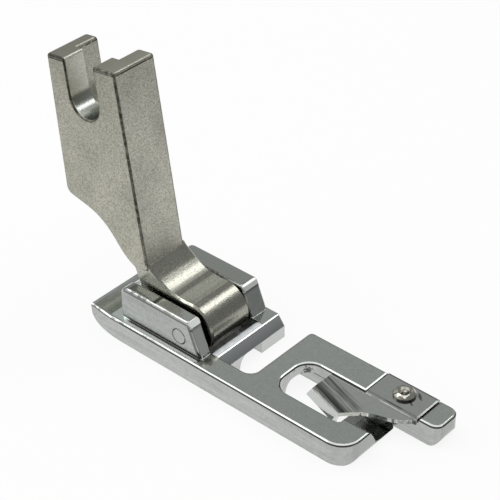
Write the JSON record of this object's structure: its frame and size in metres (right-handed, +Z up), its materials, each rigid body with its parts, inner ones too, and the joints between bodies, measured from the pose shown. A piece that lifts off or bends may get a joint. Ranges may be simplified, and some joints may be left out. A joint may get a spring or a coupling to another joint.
{
  "type": "sewing machine presser foot",
  "caption": "Hinged narrow-hem presser foot: tall slotted shank rocking on a polished split-toe sole with a riveted sheet-metal hem scroll.",
  "frame": {"origin": "under the middle of the whole foot's box, level with the sole's underside", "axes": "+X to the operator's right (the scroll's side), +Y from the toes to the rear, +Z up from the sole"},
  "size_m": [0.012, 0.0468, 0.0305],
  "materials": {
    "sole": "polished plating",
    "pin": "ground flush",
    "shank": "satin speckled casting, machined bright at the knuckle",
    "scroll": "polished sheet",
    "rivet": "polished, slightly warm"
  },
  "bodies": {
    "sole": {"sole_plate": "sole", "hinge_pin": "pin", "hem_scroll": "scroll", "scroll_rivet": "rivet"},
    "shank": {"shank": "shank"}
  },
  "joints": [
    {"name": "shank_hinge", "type": "hinge", "parent": "sole", "child": "shank", "pos_m": [0, 0.00459, 0.00372], "axis": [1, 0, 0], "range_deg": [0, 105]}
  ]
}
